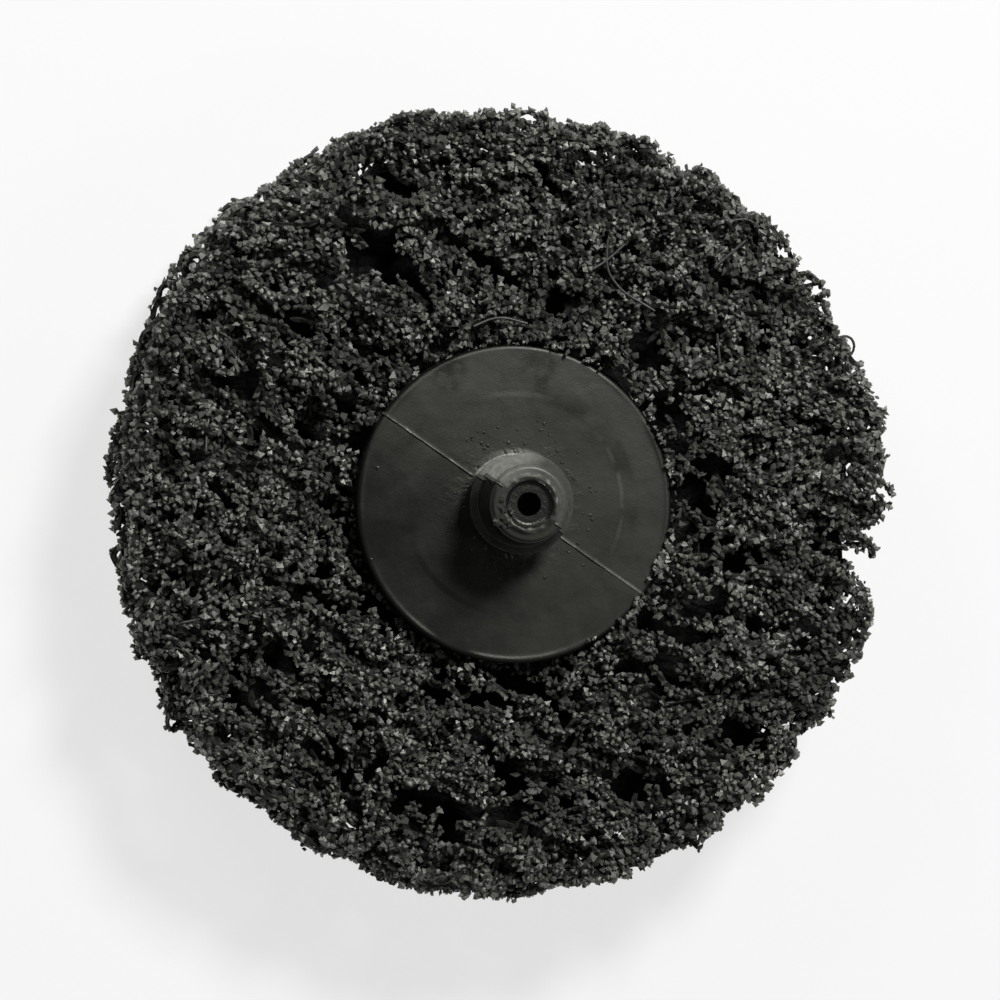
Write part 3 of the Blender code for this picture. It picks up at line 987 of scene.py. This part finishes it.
class Graph:
    """A material's node tree, with short calls to fill it."""

    def __init__(self, name):
        self.material = bpy.data.materials.new(name)
        self.material.use_nodes = True
        self.tree = self.material.node_tree
        self.shader = self.tree.nodes["Principled BSDF"]

    def add(self, kind, inputs=None, **settings):
        """A new node, with its inputs given by name or by index."""
        node = self.tree.nodes.new(kind)
        for name, value in settings.items():
            setattr(node, name, value)
        for key, value in (inputs or {}).items():
            self.set(node.inputs[key], value)
        return node

    def set(self, socket, value):
        """Links a socket to another one, or gives it a plain value."""
        if isinstance(value, bpy.types.NodeSocket):
            self.tree.links.new(value, socket)
        else:
            socket.default_value = value

    def surface(self, colour, roughness, normal, **others):
        """The material, with its shader's inputs filled."""
        self.set(self.shader.inputs["Base Color"], colour)
        self.set(self.shader.inputs["Roughness"], roughness)
        self.set(self.shader.inputs["Normal"], normal)
        for name, value in others.items():
            self.shader.inputs[SHADER_INPUTS[name]].default_value = value
        return self.material

    def painted_shade_in_pores(self, colour, darkest, roughness):
        """The colour turned nearly black where points are buried, as painted shade in the pores, and the
        roughness turned dull there.
        """
        burial = self.add("ShaderNodeAttribute", attribute_name="burial").outputs["Fac"]
        colour = self.mix(burial, colour, tone(darkest, darkest))
        return colour, self.math("ADD", roughness, self.times(burial, BURIED_ROUGHER))

    def place(self):
        return self.add("ShaderNodeTexCoord").outputs["Object"]

    def flat_place(self):
        """The place over the pad, without its height."""
        return self.vector("MULTIPLY", self.place(), (1.0, 1.0, 0.0)).outputs["Vector"]

    def noise(self, size, detail=3.0, roughness=0.5):
        """Noise with features about this size in metres, as a value from 0 to 1."""
        inputs = {"Vector": self.place(), "Scale": 1.0 / size, "Detail": detail, "Roughness": roughness}
        return self.add("ShaderNodeTexNoise", inputs).outputs["Fac"]

    def ramp(self, value, low, high, to_low=0.0, to_high=1.0):
        """The value moved from one range to another and held to it."""
        names = ("Value", "From Min", "From Max", "To Min", "To Max")
        inputs = dict(zip(names, (value, low, high, to_low, to_high)))
        return self.add("ShaderNodeMapRange", inputs).outputs["Result"]

    def mix(self, share, first, second):
        """The second colour in this share and the first in the rest."""
        inputs = {0: share, 6: first, 7: second}
        return self.add("ShaderNodeMix", inputs, data_type="RGBA").outputs[2]

    def math(self, operation, first, second):
        return self.add("ShaderNodeMath", {0: first, 1: second}, operation=operation).outputs[0]

    def times(self, first, second):
        return self.math("MULTIPLY", first, second)

    def larger(self, first, second):
        return self.math("MAXIMUM", first, second)

    def vector(self, operation, first, second):
        return self.add("ShaderNodeVectorMath", {0: first, 1: second}, operation=operation)

    def distance(self, x, y):
        return self.vector("DISTANCE", self.flat_place(), (x, y, 0.0)).outputs["Value"]

    def islands(self, size, level):
        """1 where noise of this size rises over the level, 0 elsewhere, with soft edges."""
        return self.ramp(self.noise(size), level, level + 0.12)

    def spot(self, x, y, radius):
        """1 inside a soft round spot, placed in millimetres, and 0 outside."""
        away = self.distance(x * MM, y * MM)
        return self.ramp(away, 0.6 * radius * MM, radius * MM, 1.0, 0.0)

    def band(self, inner, outer, softness):
        """1 between two radii round the axis, in millimetres, and 0 elsewhere, with soft edges."""
        radius = self.distance(0.0, 0.0)
        rising = self.ramp(radius, inner * MM - softness * MM, inner * MM)
        falling = self.ramp(radius, outer * MM, outer * MM + softness * MM, 1.0, 0.0)
        return self.times(rising, falling)

    def beyond(self, angle, start, end):
        """0 up to a line across the axis and 1 beyond it, rising between these distances in millimetres."""
        side = (math.cos(angle), math.sin(angle), 0.0)
        along = self.vector("DOT_PRODUCT", self.flat_place(), side).outputs["Value"]
        return self.ramp(along, start * MM, end * MM)

    def bump(self, height, distance, strength=1.0, normal=None):
        """The normal of a surface with this relief, over another normal if one is given."""
        inputs = {"Height": height, "Distance": distance, "Strength": strength}
        if normal is not None:
            inputs["Normal"] = normal
        return self.add("ShaderNodeBump", inputs).outputs["Normal"]


def crust_material():
    """Resin crust: near black, satin, with fine grains standing in it and painted shade in the crevices
    between them, and with painted shade and dullness where it is buried.
    """
    graph = Graph("resin_crust")
    inputs = {"Vector": graph.place(), "Scale": 1.0 / (0.42 * MM)}
    cells = graph.add("ShaderNodeTexVoronoi", inputs, feature="SMOOTH_F1")
    lumps = graph.ramp(cells.outputs["Distance"], 0.0, 0.75, 1.0, 0.0)
    # Painted shade: darker in the crevices between the lumps.
    colour = graph.mix(lumps, tone(0.002, 0.002), tone(0.015, 0.0135))
    rough = graph.ramp(graph.noise(0.6 * MM), 0.3, 0.7, 0.46, 0.66)
    fine = graph.bump(graph.noise(0.14 * MM, detail=2.0), 0.05 * MM, 0.6)
    # Painted shade where the crust is buried.
    colour, rough = graph.painted_shade_in_pores(colour, 0.0012, rough)
    normal = graph.bump(lumps, 0.22 * MM, 1.0, fine)
    return graph.surface(colour, rough, normal, ior=1.7, specular=0.4, tint=WARM)


def grit_material():
    """Grit grains under resin: dark grey, each with its own sheen, with painted shade and dullness where
    they are buried.
    """
    graph = Graph("grit")
    island = graph.add("ShaderNodeNewGeometry").outputs["Random Per Island"]
    colour = graph.mix(island, tone(0.016, 0.0144), tone(0.130, 0.1170))
    other = graph.math("FRACT", graph.times(island, 37.0), 0.0)
    # Painted shade where the grains are buried.
    colour, rough = graph.painted_shade_in_pores(colour, 0.0015, graph.ramp(other, 0.0, 1.0, 0.46, 0.72))
    normal = graph.bump(graph.noise(0.11 * MM, detail=2.0), 0.05 * MM, 0.8)
    return graph.surface(colour, rough, normal, ior=1.8, specular=0.9, tint=WARM)


def core_painted_shade_material():
    """The pad's inside: near black as painted shade, and dull."""
    graph = Graph("dark_core")
    # Painted shade: near black, for the deep web where no light reaches.
    colour = graph.mix(graph.noise(0.6 * MM), tone(0.0008, 0.0008), tone(0.003, 0.003))
    rough = graph.ramp(graph.noise(0.4 * MM), 0.3, 0.7, 0.5, 0.8)
    normal = graph.bump(graph.noise(0.35 * MM, detail=4.0), 0.3 * MM)
    return graph.surface(colour, rough, normal, specular=0.15)


def fibre_material():
    """Bare nylon: smooth, dark, a little shiny."""
    graph = Graph("bare_nylon")
    colour = graph.mix(graph.noise(1.2 * MM), tone(0.026, 0.0245), tone(0.050, 0.047))
    rough = graph.ramp(graph.noise(0.5 * MM), 0.3, 0.7, 0.35, 0.55)
    normal = graph.bump(graph.noise(0.2 * MM), 0.02 * MM)
    return graph.surface(colour, rough, normal)


def plastic_material():
    """Dark grey satin moulding: smudged, mottled, darker in its dish, darker beyond the parting line as
    painted shade and smoother there, with painted highlights on its stem's upper flank and at the witness
    ring's right.
    """
    graph = Graph("moulded_plastic")
    smudges = graph.noise(2.5 * MM, detail=5.0, roughness=0.6)
    colour = graph.mix(smudges, tone(0.010, 0.0088), tone(0.018, 0.0158))
    smear = graph.times(graph.band(6.9, 7.8, 0.3), graph.islands(3.5 * MM, 0.48))
    patches = graph.larger(graph.spot(1.6, 8.7, 1.5), graph.spot(-4.1, 8.3, 1.4))
    mottled = graph.times(patches, graph.ramp(graph.noise(0.9 * MM), 0.42, 0.58, 0.15, 1.0))
    in_dish = graph.band(0.0, DISH_RADIUS / MM, 0.05)
    # Painted shade: the half beyond the parting line, towards the left, is darker.
    painted_shade_half = graph.times(graph.beyond(PARTING_ANGLE + math.pi / 2, 0.1, 3.5), 0.75)
    painted_shade_half = graph.times(painted_shade_half, graph.beyond(math.pi, -1.5, 3.5))
    # Darker smears, mottled patches and dish, joined with the painted shade of the far half; all of these
    # are also glossier.
    darkening_and_painted_shade = graph.times(smear, 0.5)
    for share in (graph.times(mottled, 0.8), graph.times(in_dish, 0.7), painted_shade_half):
        darkening_and_painted_shade = graph.larger(darkening_and_painted_shade, share)
    colour = graph.mix(darkening_and_painted_shade, colour, tone(0.004, 0.0037))
    # Painted highlight: the witness ring is paler on its right side only, in patches.
    witness = graph.band(6.86, 7.02, 0.08)
    for share in (graph.beyond(math.radians(8), 5.4, 6.8), graph.islands(1.2 * MM, 0.44)):
        witness = graph.times(witness, share)
    # Painted highlight: a paler patch on the stem's upper flank, strongest towards the upper left, broken up
    # by noise.
    painted_stem_highlight = graph.ramp(graph.beyond(math.radians(122), 1.5, 2.7), 0.0, 1.0, 0.25, 1.0)
    on_stem = graph.band(1.75, 3.2, 0.05)
    upper_half = graph.beyond(PARTING_ANGLE - math.pi / 2, 0.0, 0.1)
    highlight_breakup = graph.ramp(graph.noise(0.35 * MM, detail=4.0), 0.3, 0.7, 0.6, 1.0)
    for share in (on_stem, upper_half, highlight_breakup):
        painted_stem_highlight = graph.times(painted_stem_highlight, share)
    # Both painted highlights turn the colour paler.
    pale = graph.larger(graph.times(witness, 0.13), painted_stem_highlight)
    colour = graph.mix(pale, colour, tone(0.200, 0.183))
    rough = graph.ramp(smudges, 0.3, 0.7, 0.38, 0.50)
    glossier = graph.larger(darkening_and_painted_shade, graph.band(2.35, 3.15, 0.1))
    rough = graph.math("SUBTRACT", rough, graph.times(glossier, 0.12))
    near_stem = graph.times(graph.band(3.2, 4.0, 1.5), graph.islands(0.8 * MM, 0.50))
    pitted = graph.larger(graph.times(near_stem, 0.3), graph.times(in_dish, 0.6))
    pits = graph.times(graph.noise(0.24 * MM, detail=2.0), pitted)
    fine = graph.bump(graph.noise(0.12 * MM, detail=4.0), 0.012 * MM, 0.7)
    waves = graph.bump(graph.noise(1.5 * MM, detail=2.0), 0.05 * MM, 0.6, fine)
    normal = graph.bump(pits, 0.06 * MM, 0.8, waves)
    return graph.surface(colour, rough, normal, specular=0.42, tint=WARM)


def pale_plastic_material():
    """The thin plastic of the flash and the crumbs, paler than the moulding."""
    graph = Graph("scuffed_plastic")
    colour = graph.mix(graph.noise(0.3 * MM), tone(0.022, 0.0195), tone(0.060, 0.0540))
    rough = graph.ramp(graph.noise(0.5 * MM), 0.3, 0.7, 0.34, 0.50)
    normal = graph.bump(graph.noise(0.12 * MM, detail=2.0), 0.02 * MM)
    return graph.surface(colour, rough, normal, tint=WARM)


# Floor, light and camera


def floor_material():
    """A pale floor that the camera sees as near white, with the object's soft shadow on it."""
    graph = Graph("pale_floor")
    graph.shader.inputs["Base Color"].default_value = tone(0.82, 0.82)
    graph.shader.inputs["Roughness"].default_value = 0.9
    graph.shader.inputs["Specular IOR Level"].default_value = 0.0
    rays = graph.add("ShaderNodeLightPath")
    seen = graph.larger(rays.outputs["Is Camera Ray"], rays.outputs["Is Glossy Ray"])
    glow = graph.add("ShaderNodeEmission", {"Color": (1, 1, 1, 1), "Strength": 1.0})
    glowing = graph.times(seen, 0.72)
    inputs = {0: glowing, 1: graph.shader.outputs["BSDF"], 2: glow.outputs["Emission"]}
    mixed = graph.add("ShaderNodeMixShader", inputs)
    output = graph.tree.nodes["Material Output"]
    graph.set(output.inputs["Surface"], mixed.outputs["Shader"])
    return graph.material


def add_floor():
    """The floor that the disc lies on, which is no part of it."""
    bpy.ops.mesh.primitive_plane_add(size=6.0, location=(0.0, 0.0, -0.02 * MM))
    floor = bpy.context.object
    floor.name = "floor"
    floor.data.materials.append(floor_material())


def add_light(name, azimuth, elevation, distance, size, power):
    """A soft square light that faces the disc from this direction, in degrees and metres."""
    data = bpy.data.lights.new(name, "AREA")
    data.shape = "SQUARE"
    data.size = size
    data.energy = power
    light = bpy.data.objects.new(name, data)
    bpy.context.scene.collection.objects.link(light)
    turned = math.radians(azimuth)
    raised = math.radians(elevation)
    level = math.cos(raised)
    way = Vector((math.cos(turned) * level, math.sin(turned) * level, math.sin(raised)))
    light.location = Vector((0.0, 0.0, 0.01)) + way * distance
    light.rotation_euler = way.to_track_quat("Z", "Y").to_euler()


def add_world():
    """Faint, even light from all round."""
    world = bpy.data.worlds.new("studio")
    bpy.context.scene.world = world
    world.use_nodes = True
    background = world.node_tree.nodes["Background"]
    background.inputs["Color"].default_value = (1.0, 1.0, 1.0, 1.0)
    background.inputs["Strength"].default_value = WORLD_STRENGTH


def add_camera():
    """The photograph's view: from above, tilted to the left, with the flange where it is in the picture."""
    low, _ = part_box("mounting_button")
    target = Vector((0.0, 0.0, low.z + FLANGE_THICKNESS))
    right = Vector((math.cos(VIEW_TILT), 0.0, math.sin(VIEW_TILT)))
    up = Vector((0.0, 1.0, 0.0))
    back = Vector((-math.sin(VIEW_TILT), 0.0, math.cos(VIEW_TILT)))
    shift_right = (FLANGE_PIXEL[0] - IMAGE_SIDE / 2) / PIXELS_PER_METRE
    shift_down = (FLANGE_PIXEL[1] - IMAGE_SIDE / 2) / PIXELS_PER_METRE
    place = target + back * CAMERA_DISTANCE - right * shift_right + up * shift_down
    data = bpy.data.cameras.new("camera")
    data.sensor_width = 36.0
    data.lens = PIXELS_PER_METRE * CAMERA_DISTANCE * data.sensor_width / IMAGE_SIDE
    camera = bpy.data.objects.new("camera", data)
    bpy.context.scene.collection.objects.link(camera)
    turn = Matrix((right, up, back)).transposed().to_4x4()
    camera.matrix_world = Matrix.Translation(place) @ turn
    bpy.context.scene.camera = camera


def main():
    """Builds every piece round the frame, then the stage."""
    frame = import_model()
    rng = np.random.default_rng(5)
    skin = Skin(frame["nodes"]["abrasive_web"])
    crust = crust_material()
    grit = grit_material()
    web = make_ropes(rng, skin, crust)
    web += make_grit(rng, skin, web, grit)
    web.append(make_overlap(rng, grit))
    web.append(make_core(core_painted_shade_material()))
    web.append(make_bare_fibres(rng, skin, fibre_material()))
    for piece in web:
        swell_rim(piece)
        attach(piece, "root")
        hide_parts("abrasive_web")
    for piece in make_button(rng, plastic_material(), pale_plastic_material()):
        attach(piece, "root")
        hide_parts("mounting_button")
    add_floor()
    add_world()
    for light in LIGHTS:
        add_light(*light)
    add_camera()
    bpy.context.scene.view_settings.view_transform = "Standard"


main()
